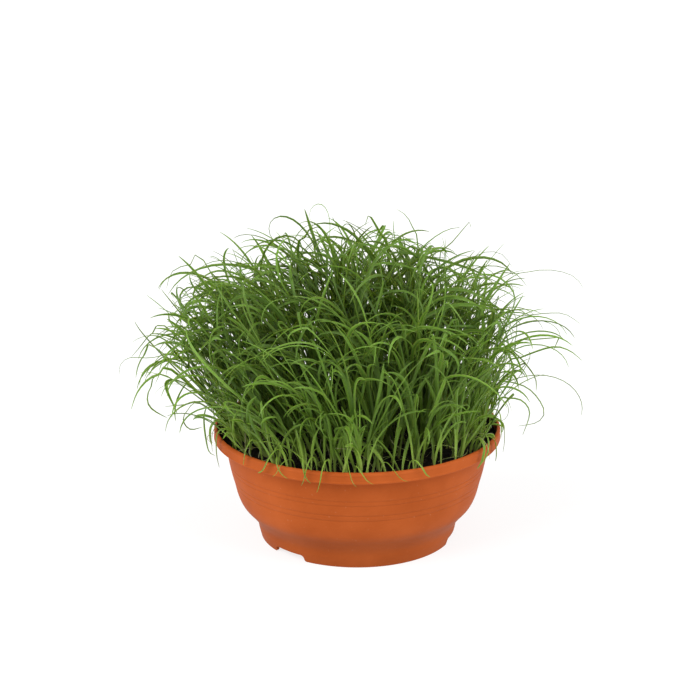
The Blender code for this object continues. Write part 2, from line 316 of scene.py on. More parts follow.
# Leaves that hang over the rim: the angle round the pot, how far they rise over the rim and fall below it in
# mm, how many degrees they wander round it, and their width in mm. The steps of their line are how far past
# the rim it is, and what share of its rise or of its fall it has there. More of them hang behind these
FRONT_HANGERS = (
    (-135, 14, 7, -3, 2.2),
    (-124, 6, 8, 8, 1.0),
    (-121, 12, 9, -9, 2.6),
    (-117, 5, 9, -6, 0.9),
    (-112, 8, 9, 5, 1.2),
    (-107, 10, 12, -4, 1.7),
    (-101, 9, 16, -4, 2.2),
    (-95, 12, 10, 5, 1.8),
    (-91, 4, 8, 7, 0.8),
    (-80, 7, 8, 9, 1.0),
    (-68, 6, 7, 6, 1.5),
)
HANGER_ROOT = -0.0130
HANGER_STEPS = ((-0.0090, 0.5), (-0.0030, 1.0), (0.0025, 0.45), (0.0035, -0.5), (0.0025, -1.0))
MORE_HANGERS = 22
HANGER_SECTOR = (radians(-50), radians(215))
HANGER_RISES = (0.004, 0.014)
HANGER_FALLS = (0.003, 0.022)
HANGER_WIDTHS = (0.0008, 0.0030)
HANGER_WANDER = radians(5)

# The colours and surfaces. A run of colours says where in its pattern each one lies
TERRACOTTAS = ((0.30, (0.360, 0.070, 0.011)), (0.70, (0.450, 0.096, 0.019)))
SPECK_COLOUR = (0.62, 0.30, 0.16)
SPECK_STRENGTHS = ((0.70, (0.0, 0.0, 0.0)), (0.76, (0.22, 0.22, 0.22)))
# The colour of the painted shade low on the pot and in its rings
PAINTED_SHADE_COLOUR = (0.115, 0.030, 0.009)
DIRT_COLOUR = (0.085, 0.043, 0.022)
SMEAR_STRENGTHS = ((0.35, (0.25, 0.25, 0.25)), (0.65, (0.9, 0.9, 0.9)))
NO_SMEAR = (0.0, 0.0, 0.0)
PEAT_COLOURS = ((0.35, (0.004, 0.0035, 0.003)), (0.62, (0.012, 0.009, 0.006)), (0.80, (0.05, 0.032, 0.018)))
PALE_CRUMB = (0.085, 0.060, 0.036)
YOUNG_GREENS = (
    (0.00, (0.36, 0.31, 0.12)),
    (0.02, (0.37, 0.48, 0.105)),
    (0.15, (0.27, 0.42, 0.057)),
    (0.35, (0.155, 0.284, 0.033)),
    (0.90, (0.141, 0.271, 0.034)),
)
DEEP_GREENS = (
    (0.00, (0.32, 0.20, 0.10)),
    (0.02, (0.30, 0.42, 0.09)),
    (0.15, (0.145, 0.25, 0.030)),
    (0.35, (0.068, 0.135, 0.0145)),
    (1.00, (0.066, 0.130, 0.0145)),
)
DRY_COLOUR = (0.38, 0.33, 0.20)
# Painted shade on leaves deep in the plant: its dark green, its strength and how far out it starts
PAINTED_SHADE_GREEN = (0.012, 0.026, 0.004)
INNER_PAINTED_SHADE = 0.82
INNER_START = 0.72
FULL_GREEN_LENGTH = 0.120
POT_SURFACE = {"Roughness": 0.55, "Specular IOR Level": 0.06}
SOIL_SURFACE = {"Roughness": 0.9, "Specular IOR Level": 0.1}
LEAF_SURFACE = {
    "Roughness": 0.45,
    "Specular IOR Level": 0.20,
    "Subsurface Weight": 0.40,
    "Subsurface Radius": (0.8, 1.0, 0.3),
    "Subsurface Scale": 0.0010,
}

# The pale floor, which glows a little so that it shows as white as the photograph's ground
FLOOR_REACH = 60.0
FLOOR_SURFACE = {
    "Base Color": (0.27, 0.27, 0.27, 1.0),
    "Emission Color": (1.0, 1.0, 1.0, 1.0),
    "Emission Strength": 0.77,
    "Roughness": 0.9,
    "Specular IOR Level": 0.0,
}

# The light of the white room, and the soft lights by where they come from and how strong they are
ROOM_LIGHT = 0.55
LIGHTS = (
    ("key", (-0.68, -0.42, 0.62), 2.3),
    ("fill", (0.70, -0.36, 0.62), 1.8),
)
LIGHT_BREADTH = radians(45)

# The camera stands in front and looks down a little, with the pot low in the picture
PICTURE_SIZE = 700
SENSOR_WIDTH = 36.0
FOCAL_PIXELS = 1834.0
CAMERA_DISTANCE = 1.5
CAMERA_ELEVATION = radians(20.33)
TARGET = Vector((0.0, 0.0, 0.060))
TARGET_PIXEL = (357.1, 460.9)


def round_axis(radius, angle, height=0.0):
    """The place at this distance and angle round the upright axis, and at this height."""
    return radius * cos(angle), radius * sin(angle), height


def add_object(name, data):
    thing = bpy.data.objects.new(name, data)
    bpy.context.scene.collection.objects.link(thing)
    return thing


def set_inputs(node, values):
    for name, value in values.items():
        node.inputs[name].default_value = value


def make_camera():
    """The camera looks at the target, then turns until the target is at its place in the picture."""
    data = bpy.data.cameras.new("camera")
    data.sensor_width = SENSOR_WIDTH
    data.lens = FOCAL_PIXELS / PICTURE_SIZE * SENSOR_WIDTH
    camera = add_object("camera", data)
    away = Vector((0.0, -cos(CAMERA_ELEVATION), sin(CAMERA_ELEVATION)))
    place = TARGET + CAMERA_DISTANCE * away
    middle = PICTURE_SIZE / 2
    yaw = atan((TARGET_PIXEL[0] - middle) / FOCAL_PIXELS)
    pitch = atan((TARGET_PIXEL[1] - middle) / FOCAL_PIXELS)
    look = (-away).to_track_quat("-Z", "Y").to_matrix().to_4x4()
    turn = Matrix.Rotation(yaw, 4, "Y") @ Matrix.Rotation(pitch, 4, "X")
    camera.matrix_world = Matrix.Translation(place) @ look @ turn
    bpy.context.scene.camera = camera


def make_light():
    """A white room and two broad soft lights, from the upper left and the upper right in front."""
    scene = bpy.context.scene
    scene.view_settings.view_transform = "Standard"
    world = bpy.data.worlds.new("studio")
    scene.world = world
    world.use_nodes = True
    background = world.node_tree.nodes["Background"]
    set_inputs(background, {"Color": (1.0, 1.0, 1.0, 1.0), "Strength": ROOM_LIGHT})
    for name, direction, energy in LIGHTS:
        data = bpy.data.lights.new(name, "SUN")
        data.energy = energy
        data.angle = LIGHT_BREADTH
        light = add_object(name, data)
        light.rotation_euler = Vector(direction).to_track_quat("Z", "Y").to_euler()


def make_floor():
    mesh = bpy.data.meshes.new("floor")
    corners = [(-1, -1, 0), (1, -1, 0), (1, 1, 0), (-1, 1, 0)]
    mesh.from_pydata([FLOOR_REACH * Vector(corner) for corner in corners], [], [(0, 1, 2, 3)])
    floor = add_object("floor", mesh)
    mesh.materials.append(new_material("studio_floor", FLOOR_SURFACE)[0])


def new_material(name, surface):
    """A material with these settings on its shader, and the shader."""
    material = bpy.data.materials.new(name)
    material.use_nodes = True
    shader = material.node_tree.nodes["Principled BSDF"]
    set_inputs(shader, surface)
    return material, shader


class Wiring:
    """Short ways to add and join shader nodes of one material."""

    # Where a colour mix node has its factor, its two colours and its result
    MIX_INPUTS = (0, 6, 7)
    MIX_RESULT = 2

    def __init__(self, material):
        self.tree = material.node_tree

    def add(self, kind, **settings):
        node = self.tree.nodes.new(kind)
        for name, value in settings.items():
            setattr(node, name, value)
        return node

    def join(self, source, target):
        self.tree.links.new(source, target)

    def stored(self, label):
        return self.add("ShaderNodeAttribute", attribute_name=label).outputs["Fac"]

    def noise(self, scale, detail, roughness=0.5):
        """Cloudy noise laid through the object, with this many clouds to the metre."""
        place = self.add("ShaderNodeTexCoord").outputs["Object"]
        node = self.add("ShaderNodeTexNoise")
        set_inputs(node, {"Scale": scale, "Detail": detail, "Roughness": roughness})
        self.join(place, node.inputs["Vector"])
        return node.outputs["Fac"]

    def ramp(self, value, stops):
        node = self.add("ShaderNodeValToRGB")
        ramp = node.color_ramp
        while len(ramp.elements) < len(stops):
            ramp.elements.new(0.5)
        for element, (place, colour) in zip(ramp.elements, stops):
            element.position = place
            element.color = (*colour, 1.0)
        self.join(value, node.inputs["Fac"])
        return node.outputs["Color"]

    def mix(self, factor, first, second):
        node = self.add("ShaderNodeMix", data_type="RGBA")
        for value, index in zip((factor, first, second), self.MIX_INPUTS):
            socket = node.inputs[index]
            if isinstance(value, bpy.types.NodeSocket):
                self.join(value, socket)
            elif isinstance(value, tuple):
                socket.default_value = (*value, 1.0)
            else:
                socket.default_value = value
        return node.outputs[self.MIX_RESULT]

    def bump(self, height, strength, distance):
        node = self.add("ShaderNodeBump")
        set_inputs(node, {"Strength": strength, "Distance": distance})
        self.join(height, node.inputs["Height"])
        return node.outputs["Normal"]


def terracotta_material():
    """Cloudy terracotta with pale specks and a fine grain, painted shade low and in its rings, dirty inside
    the rim.
    """
    material, shader = new_material("terracotta_plastic", POT_SURFACE)
    wiring = Wiring(material)
    colour = wiring.ramp(wiring.noise(scale=22.0, detail=5.0, roughness=0.6), TERRACOTTAS)
    specks = wiring.ramp(wiring.noise(scale=420.0, detail=2.0), SPECK_STRENGTHS)
    colour = wiring.mix(specks, colour, SPECK_COLOUR)
    # Painted shade: the pot darker on its foot, in the hollow above it and in its rings, as if shadowed
    colour = wiring.mix(wiring.stored("shade"), colour, PAINTED_SHADE_COLOUR)
    smears = wiring.ramp(wiring.noise(scale=75.0, detail=6.0, roughness=0.65), SMEAR_STRENGTHS)
    smears = wiring.mix(wiring.stored("dirt"), NO_SMEAR, smears)
    wiring.join(wiring.mix(smears, colour, DIRT_COLOUR), shader.inputs["Base Color"])
    grain = wiring.noise(scale=900.0, detail=2.0)
    wiring.join(wiring.bump(grain, strength=0.12, distance=0.0002), shader.inputs["Normal"])
    return material


def soil_material():
    """Nearly black peat with brown flecks, and crumbs that are paler the higher their tone is."""
    material, shader = new_material("peat_soil", SOIL_SURFACE)
    wiring = Wiring(material)
    colour = wiring.ramp(wiring.noise(scale=260.0, detail=6.0, roughness=0.7), PEAT_COLOURS)
    colour = wiring.mix(wiring.stored("tone"), colour, PALE_CRUMB)
    wiring.join(colour, shader.inputs["Base Color"])
    return material


def leaf_material():
    """Green by how high up its shoot a point is and its leaf's tint, with painted shade deep in the plant."""
    material, shader = new_material("grass_leaf", LEAF_SURFACE)
    wiring = Wiring(material)
    along = wiring.stored("along")
    young = wiring.ramp(along, YOUNG_GREENS)
    deep = wiring.ramp(along, DEEP_GREENS)
    green = wiring.mix(wiring.stored("tint"), deep, young)
    green = wiring.mix(wiring.stored("dry"), green, DRY_COLOUR)
    # Painted shade: the deeper a point lies in the plant, the more it takes of the dark green
    shaded = wiring.mix(INNER_PAINTED_SHADE, green, PAINTED_SHADE_GREEN)
    wiring.join(wiring.mix(wiring.stored("inner"), green, shaded), shader.inputs["Base Color"])
    return material


def finished(name, mesh, material, sharp_angle):
    """An object of the mesh, smooth but for edges sharper than the angle."""
    mesh.materials.append(material)
    mesh.shade_smooth()
    mesh.set_sharp_from_angle(angle=sharp_angle)
    return add_object(name, mesh)


def set_values(mesh, label, values):
    """Stores one number for each of the mesh's points, for its material to read."""
    attribute = mesh.attributes.new(label, "FLOAT", "POINT")
    attribute.data.foreach_set("value", np.asarray(values, dtype=np.float32))


def dress(piece, node):
    """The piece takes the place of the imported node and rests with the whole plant."""
    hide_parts(node)
    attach(piece, "root")


def wall_line():
    """The wall's outer face from the shoulder under the rim down to the foot, as radius and height."""
    return [(SHOULDER_RADIUS, BAND_FOOT - SHOULDER_DROP), *WALL_POINTS, (FOOT_RADIUS, EDGE)]


def smooth_through(points, parts):
    """Points on a smooth curve through the given ones, with this many parts between neighbours."""
    points = np.array(points)
    ends = [2 * points[0] - points[1], *points, 2 * points[-1] - points[-2]]
    curve = []
    for before, start, end, after in zip(ends, ends[1:], ends[2:], ends[3:]):
        bow = 2 * before - 5 * start + 4 * end - after
        twist = 3 * start - before - 3 * end + after
        for t in np.arange(parts) / parts:
            curve.append((2 * start + (end - before) * t + bow * t**2 + twist * t**3) / 2)
    return [*curve, points[-1]]


def arc(centre, radius, start, end, parts):
    """Points of an arc in the profile, between two angles in degrees."""
    angles = np.radians(np.linspace(start, end, parts + 1))
    return [(centre[0] + radius * cos(angle), centre[1] + radius * sin(angle)) for angle in angles]


def ring_depth(height):
    """How deep in a ring a height is: 1 at the bottom of one and 0 away from all of them."""
    return sum(np.exp(-(((height - ring) / RING_HALF) ** 2)) for ring in RING_HEIGHTS)


def outer_wall():
    """The wall's outer face with the fine rings pressed into it, from the shoulder down."""
    curve = np.array(smooth_through(wall_line(), WALL_PARTS))[::-1]
    steps = range(-RING_SAMPLES, RING_SAMPLES + 1)
    close = [ring + RING_HALF * step / 2 for ring in RING_HEIGHTS for step in steps]
    heights = np.unique(np.concatenate([curve[:, 1], close]))[::-1]
    radii = np.interp(heights, curve[:, 1], curve[:, 0]) - RING_DEPTH * ring_depth(heights)
    return list(zip(radii.tolist(), heights.tolist()))


def band_face():
    """The face of the band round the rim, down to the bead along its foot."""
    heights = np.linspace(POT_HEIGHT - LIP_ROUND, BAND_FOOT + EDGE, BAND_PARTS + 1)[1:-1]
    bead = BEAD_RISE * np.exp(-(((heights - BAND_FOOT - BEAD_HEIGHT) / BEAD_HALF) ** 2))
    return list(zip((RIM_RADIUS + bead - BEAD_RISE / 2).tolist(), heights.tolist()))


def ledge_line(gap):
    """The ledge inside the rim, from the wall out to the lip, with a gap over it and before the lip."""
    return [
        (SHOULDER_RADIUS - WALL - gap, BAND_FOOT - SHOULDER_DROP + WALL + gap),
        (RIM_RADIUS - RIM_THICKNESS - gap, BAND_FOOT + EDGE + gap),
    ]


def pot_profile():
    """From the middle of the floor up the inside, over the lip, down the outside and back under the floor."""
    lip = RIM_RADIUS - RIM_THICKNESS
    foot_inside = FOOT_RADIUS - FOOT_THICKNESS
    upper_wall = reversed(wall_line()[:POINTS_ABOVE_FLOOR])
    inner = smooth_through([(radius - WALL, height) for radius, height in upper_wall], INSIDE_PARTS)
    return [
        (0.0, FLOOR_HEIGHT + WALL),
        (DRAIN_CIRCLE, FLOOR_HEIGHT + WALL),
        (foot_inside, FLOOR_HEIGHT + WALL),
        *inner[:-1],
        *ledge_line(0.0),
        *arc((lip + LIP_EDGE, POT_HEIGHT - LIP_EDGE), LIP_EDGE, 180, 90, EDGE_PARTS),
        *arc((RIM_RADIUS - LIP_ROUND, POT_HEIGHT - LIP_ROUND), LIP_ROUND, 90, 0, LIP_PARTS),
        *band_face(),
        *arc((RIM_RADIUS - EDGE, BAND_FOOT + EDGE), EDGE, 0, -90, EDGE_PARTS),
        (RIM_RADIUS - 3 * EDGE, BAND_FOOT),
        *outer_wall(),
        *arc((FOOT_RADIUS - EDGE, EDGE), EDGE, -30, -90, FOOT_EDGE_PARTS),
        (foot_inside, 0.0),
        (foot_inside, FLOOR_HEIGHT),
        (DRAIN_CIRCLE, FLOOR_HEIGHT),
        (0.0, FLOOR_HEIGHT),
    ]


def turned(profile):
    """Points and faces of a body turned round the upright axis. Its profile starts and ends on the axis."""
    rings = profile[1:-1]
    count = len(rings)
    points = []
    for step in range(TURN_STEPS):
        angle = tau * step / TURN_STEPS
        points += [round_axis(radius, angle, height) for radius, height in rings]
    start = len(points)
    points += [(0.0, 0.0, profile[0][1]), (0.0, 0.0, profile[-1][1])]
    faces = []
    for step in range(TURN_STEPS):
        here = step * count
        there = (step + 1) % TURN_STEPS * count
        faces.append((start, here, there))
        faces += [(here + i, here + i + 1, there + i + 1, there + i) for i in range(count - 1)]
        faces.append((start + 1, there + count - 1, here + count - 1))
    return points, faces


def arch_outline():
    """The arch seen from the front, across and up, with rounded upper corners and a flare at the floor."""
    half = ARCH_WIDTH / 2
    side = [
        *arc((half - ARCH_CORNER, ARCH_HEIGHT - ARCH_CORNER), ARCH_CORNER, 90, 0, ARCH_PARTS),
        *arc((half + ARCH_FLARE, ARCH_FLARE), ARCH_FLARE, 180, 270, ARCH_PARTS),
        (half + ARCH_FLARE, -ARCH_HEIGHT),
    ]
    return side + [(-across, up) for across, up in reversed(side)]


def add_arch(form, index):
    """A block of the arch's outline, laid across the foot ring."""
    outline = arch_outline()
    turn = Matrix.Rotation(FIRST_ARCH_ANGLE + index * tau / ARCHES, 4, "Z")
    ends = []
    for radius in (FOOT_RADIUS + ARCH_DEPTH / 2, FOOT_RADIUS - ARCH_DEPTH / 2):
        ends.append([form.verts.new(turn @ Vector((radius, across, up))) for across, up in outline])
    faces = [form.faces.new(end) for end in ends]
    for i in range(len(outline)):
        faces.append(form.faces.new((ends[0][i - 1], ends[0][i], ends[1][i], ends[1][i - 1])))
    bmesh.ops.recalc_face_normals(form, faces=faces)


def add_drain(form, index):
    turn = Matrix.Rotation(FIRST_ARCH_ANGLE + (index + 0.5) * tau / DRAIN_HOLES, 4, "Z")
    place = Matrix.Translation((DRAIN_CIRCLE, 0.0, FLOOR_HEIGHT + WALL / 2))
    bmesh.ops.create_cone(
        form,
        cap_ends=True,
        segments=DRAIN_SIDES,
        radius1=DRAIN_RADIUS,
        radius2=DRAIN_RADIUS,
        depth=6 * WALL,
        matrix=turn @ place,
    )


def cut_openings(mesh):
    """The mesh with the arches cut from its foot and the drain holes from its floor."""
    form = bmesh.new()
    for index in range(ARCHES):
        add_arch(form, index)
    for index in range(DRAIN_HOLES):
        add_drain(form, index)
    openings = bpy.data.meshes.new("openings")
    form.to_mesh(openings)
    form.free()
    helpers = [add_object("uncut_pot", mesh), add_object("openings", openings)]
    boolean = helpers[0].modifiers.new("cut", "BOOLEAN")
    boolean.solver = "EXACT"
    boolean.object = helpers[1]
    graph = bpy.context.evaluated_depsgraph_get()
    result = bpy.data.meshes.new_from_object(helpers[0].evaluated_get(graph))
    for helper in helpers:
        bpy.data.objects.remove(helper, do_unlink=True)
    return result


def make_pot(material):
    """The turned bowl with its openings, and how much painted shade and dirt it has at each point."""
    points, faces = turned(pot_profile())
    mesh = bpy.data.meshes.new("pot_finished")
    mesh.from_pydata(points, [], faces)
    mesh = cut_openings(mesh)
    places = np.empty(3 * len(mesh.vertices), dtype=np.float32)
    mesh.vertices.foreach_get("co", places)
    x, y, z = places.reshape(-1, 3).T
    radius = np.hypot(x, y)
    # Painted shade along the height and in the rings' grooves, where shade falls
    set_values(mesh, "shade", np.interp(z, *zip(*PAINTED_SHADES)) + RING_PAINTED_SHADE * ring_depth(z))
    set_values(mesh, "dirt", (radius < RIM_RADIUS - CLEAN_LIP * RIM_THICKNESS) & (z > BAND_FOOT))
    pot = finished("pot_finished", mesh, material, POT_SHARP_ANGLE)
    dress(pot, "pot")


def soil_height(x, y):
    """Crumbly soil, which never sinks under the ledge inside the rim."""
    lumps = noise.fractal((x * LUMP_SCALE, y * LUMP_SCALE, 0.0), *LUMP_PARTS)
    grit = noise.fractal((x * GRIT_SCALE, y * GRIT_SCALE, GRIT_LEVEL), *GRIT_PARTS)
    height = SOIL_TOP - SOIL_DIP + LUMP_HEIGHT * lumps + GRIT_HEIGHT * grit
    (inner, low), (outer, high) = ledge_line(GAP)
    return max(height, np.interp(hypot(x, y), (inner - GAP, inner, outer), (0.0, low, high)))


def crumb_form():
    """The corners and faces of a small round lump."""
    form = bmesh.new()
    bmesh.ops.create_icosphere(form, subdivisions=1, radius=1.0)
    corners = np.array([vert.co for vert in form.verts])
    faces = [[vert.index for vert in face.verts] for face in form.faces]
    form.free()
    return corners, faces


def draw_low(rng, least, most, power):
    """A draw between the two, more often near the least the higher the power is."""
    return least + (most - least) * rng.random()**power


def scattered_crumbs(first):
    """Points and faces of crumbs all over the soil, numbered from first, and how pale each point is."""
    rng = np.random.default_rng(SOIL_SEED)
    corners, sides = crumb_form()
    points = []
    faces = []
    tones = []
    for _ in range(CRUMBS):
        angle = rng.uniform(0, tau)
        radius = CRUMB_REACH * sqrt(rng.random())
        x, y, _ = round_axis(radius, angle)
        size = draw_low(rng, *CRUMB_SIZES, CRUMB_SIZE_POWER)
        turn = np.array(Matrix.Rotation(rng.uniform(0, tau), 3, Vector(rng.normal(0, 1, 3))))
        lump = corners * rng.uniform(*CRUMB_CORNERS, (len(corners), 1)) * rng.uniform(*CRUMB_FLATNESS, 3)
        place = np.array([x, y, soil_height(x, y) + CRUMB_LIFT * size])
        start = first + len(points)
        points += (place + size * lump @ turn.T).tolist()
        faces += [tuple(start + corner for corner in side) for side in sides]
        tones += [rng.random()**CRUMB_TONE_POWER] * len(corners)
    return points, faces, tones


def make_soil(material):
    """A lumpy disc of soil that laps over the ledge inside the rim, with crumbs on it."""
    (inner, low), (outer, high) = ledge_line(GAP)
    bottom = SOIL_TOP - SOIL_DEPTH
    profile = [(outer * ring / SOIL_RINGS, SOIL_TOP) for ring in range(SOIL_RINGS + 1)]
    profile += [(outer, high - GAP / 2), (inner, low - GAP / 2), (inner, bottom), (0.0, bottom)]
    points, faces = turned(profile)
    points = [(x, y, soil_height(x, y) if z == SOIL_TOP else z) for x, y, z in points]
    crumb_points, crumb_faces, tones = scattered_crumbs(len(points))
    mesh = bpy.data.meshes.new("soil_surface")
    mesh.from_pydata(points + crumb_points, [], faces + crumb_faces)
    set_values(mesh, "tone", [0.0] * len(points) + tones)
    dress(finished("soil_surface", mesh, material, SOIL_SHARP_ANGLE), "soil")


def blade_line(root, heading, lean, length, bend, late, sweep):
    """Points along a blade that rises from its root and bows over, as in the solids."""
    points = [root]
    step = length / FINE_STEPS
    for index in range(FINE_STEPS):
        share = (index + 0.5) / FINE_STEPS
        tilt = lean + bend * share**late
        turn = heading + sweep * share**2
        direction = Vector(round_axis(sin(tilt), turn, cos(tilt)))
        points.append(points[-1] + step * direction)
    return points


def tuft_site(index):
    radius = BED_RADIUS * sqrt((index + 0.5) / TUFTS)
    return Vector(round_axis(radius, index * GOLDEN_ANGLE, SOIL_TOP + GAP))


def shoot_root(site, index, first_angle):
    """The middle of the shoot on the crown's top, and the direction of its own side of the crown."""
    angle = first_angle + tau * (index + 0.5) / BLADES
    side = Vector(round_axis(1.0, angle))
    return site + ROOT_SHARE * CROWN_RADIUS * side + Vector((0.0, 0.0, CROWN_HEIGHT)), side


def stance(root, side, wander):
    """How a shoot leans, away from the middles of pot and tuft and a little at random, and how long it is."""
    outward = Vector((root.x, root.y, 0.0)) / BED_RADIUS
    share = min(outward.length, 1.0)
    fan = Vector([EDGE_LEAN * part * abs(part)**LEAN_GATHER for part in outward])
    lean = fan + TUFT_LEAN * side + wander
    lean.y *= DEPTH_LEAN
    edge_length = EDGE_LENGTH + FRONT_LOSS * min(outward.y, 0.0)
    return lean, MIDDLE_LENGTH + (edge_length - MIDDLE_LENGTH) * share**LENGTH_FALL


def random_blade(uniform, normal, root, side, shares):
    """A blade drawn with the two given ways to draw, at a length between these shares of its full one."""
    wander = Vector((normal(-LEFT_LEAN, LEAN_SPREAD), normal(0, LEAN_SPREAD), 0.0))
    lean, length = stance(root, side, wander)
    return blade_line(
        root,
        heading=atan2(lean.y, lean.x),
        lean=lean.length,
        length=length * uniform(*shares),
        bend=uniform(*BENDS),
        late=uniform(*LATENESS),
        sweep=normal(0, SWEEP_SPREAD),
    )


def close_samples(points):
    """Points at an even spacing along the straight runs between the given points."""
    samples = []
    for start, end in zip(points, points[1:]):
        count = ceil((end - start).length / SAMPLE_SPACING)
        samples += [start.lerp(end, index / count) for index in range(count)]
    return samples + [points[-1]]


def in_dome(point):
    across = hypot(point.x / DOME_HALF_WIDTH, point.y / DOME_HALF_DEPTH)
    up = abs(point.z - SOIL_TOP) / (DOME_HEIGHT + DOME_SLOPE * point.x)
    return across**DOME_FULLNESS + up**DOME_FULLNESS <= 1.0


def lowest_allowed(point):
    """The height a blade must keep at a place: over the soil, over the rim, or hanging outside it."""
    radius = hypot(point.x, point.y)
    if radius < RIM_RADIUS - RIM_CLEARANCE:
        return SOIL_TOP + CROWN_HEIGHT
    if radius < RIM_RADIUS + RIM_CLEARANCE:
        return POT_HEIGHT + RIM_CLEARANCE
    return LOWEST_TIP


def strays(samples):
    return not all(STRAY_LEFT < point.x < STRAY_RIGHT for point in samples)


def stays_in_place(samples):
    return all(in_dome(point) and point.z >= lowest_allowed(point) for point in samples)


def tree_of(points):
    tree = KDTree(len(points))
    for index, point in enumerate(points):
        tree.insert(point, index)
    tree.balance()
    return tree


def clears(samples, tree):
    return all(tree.find(point)[2] > BLADE_CLEARANCE for point in samples)


def grow_blade(chance, root, side, others, siblings):
    for _ in range(MOST_TRIES):
        fine = random_blade(chance.uniform, chance.gauss, root, side, LENGTH_SHARES)
        samples = close_samples([fine[step] for step in FACET_STEPS])
        if strays(samples) and chance.random() > STRAY_SHARE:
            continue
        past_crown = samples[CROWN_SAMPLES:]
        if stays_in_place(samples) and clears(samples, others) and clears(past_crown, siblings):
            return fine, samples
    raise ValueError("a shoot has no room to grow")


def grow_tufts():
    """For each tuft its site and the fine lines of its main blades, the same ones that the solids have."""
    chance = random.Random(BLADE_SEED)
    far_off = [Vector((0.0, 0.0, -1.0))]
    grown = list(far_off)
    tufts = []
    for index in range(TUFTS):
        site = tuft_site(index)
        first_angle = chance.uniform(0, tau)
        others = tree_of(grown)
        own = list(far_off)
        lines = []
        for shoot in range(BLADES):
            root, side = shoot_root(site, shoot, first_angle)
            line, samples = grow_blade(chance, root, side, others, tree_of(own))
            lines.append(line)
            own += samples[CROWN_SAMPLES:]
            grown += samples
        tufts.append((site, lines))
    return tufts


def spread_points(line):
    """The line's points again, evenly counted by LEAF_SHARES, which crowd towards its end."""
    line = np.array(line)
    run = np.concatenate([[0.0], np.cumsum(np.linalg.norm(np.diff(line, axis=0), axis=1))])
    return np.stack([np.interp(LEAF_SHARES * run[-1], run, line[:, axis]) for axis in range(3)], axis=1)


def side_leaf(root, ahead, aside, length, bend, late, sweep, kink_at=0.5, kink=0.0):
    """A leaf that sets out ahead and turns over towards aside, with a sharp fold where it is kinked."""
    share = (np.arange(CURL_STEPS) + 0.5) / CURL_STEPS
    turn = bend * share**late + kink / (1.0 + np.exp(-(share - kink_at) / KINK_SOFTNESS))
    swing = sweep * share**2
    over = np.outer(np.cos(swing), aside) + np.outer(np.sin(swing), np.cross(ahead, aside))
    steps = np.outer(np.cos(turn), ahead) + over * np.sin(turn)[:, None]
    return spread_points(np.vstack([root, root + np.cumsum(steps * (length / CURL_STEPS), axis=0)]))


def outness(line, room=1.0):
    """How far out each point is in the leaves' space: 0 in its middle and 1 on its skin.

    Room scales the space's width and depth, and its height by less.
    """
    x, y, z = line.T
    rise = np.clip((z - SOIL_TOP) / (LEAF_MIDDLE_HEIGHT - SOIL_TOP), 0.0, 1.0)
    sideways = np.where(x < 0, LEAF_LEFT_REACH, LEAF_RIGHT_REACH)
    across = x / (LEAF_FOOT_REACH + (sideways - LEAF_FOOT_REACH) * rise)
    deep = y / (LEAF_FOOT_REACH + (LEAF_DEPTH_REACH - LEAF_FOOT_REACH) * rise)
    up = np.maximum(z - LEAF_MIDDLE_HEIGHT, 0.0) / (LEAF_UPPER_REACH - LEAF_UPPER_SLOPE * x)
    shares = (across / room, deep / room, up / sqrt(room))
    return sum(np.abs(share)**LEAF_FULLNESS for share in shares)


def fits(line, room=1.0):
    """Whether a leaf keeps inside the leaves' space, and over the soil, the rim and LEAF_LOWEST."""
    z = line[:, 2]
    radius = np.hypot(line[:, 0], line[:, 1])
    over_rim = np.abs(radius - RIM_RADIUS) < LEAF_RIM_CLEARANCE
    floor = np.where(radius < RIM_RADIUS, SOIL_TOP + LEAF_SOIL_CLEARANCE, LEAF_LOWEST)
    floor = np.where(over_rim, POT_HEIGHT + LEAF_RIM_CLEARANCE, floor)
    return np.all(outness(line, room) <= 1.0) and np.all(z[1:] >= floor[1:])


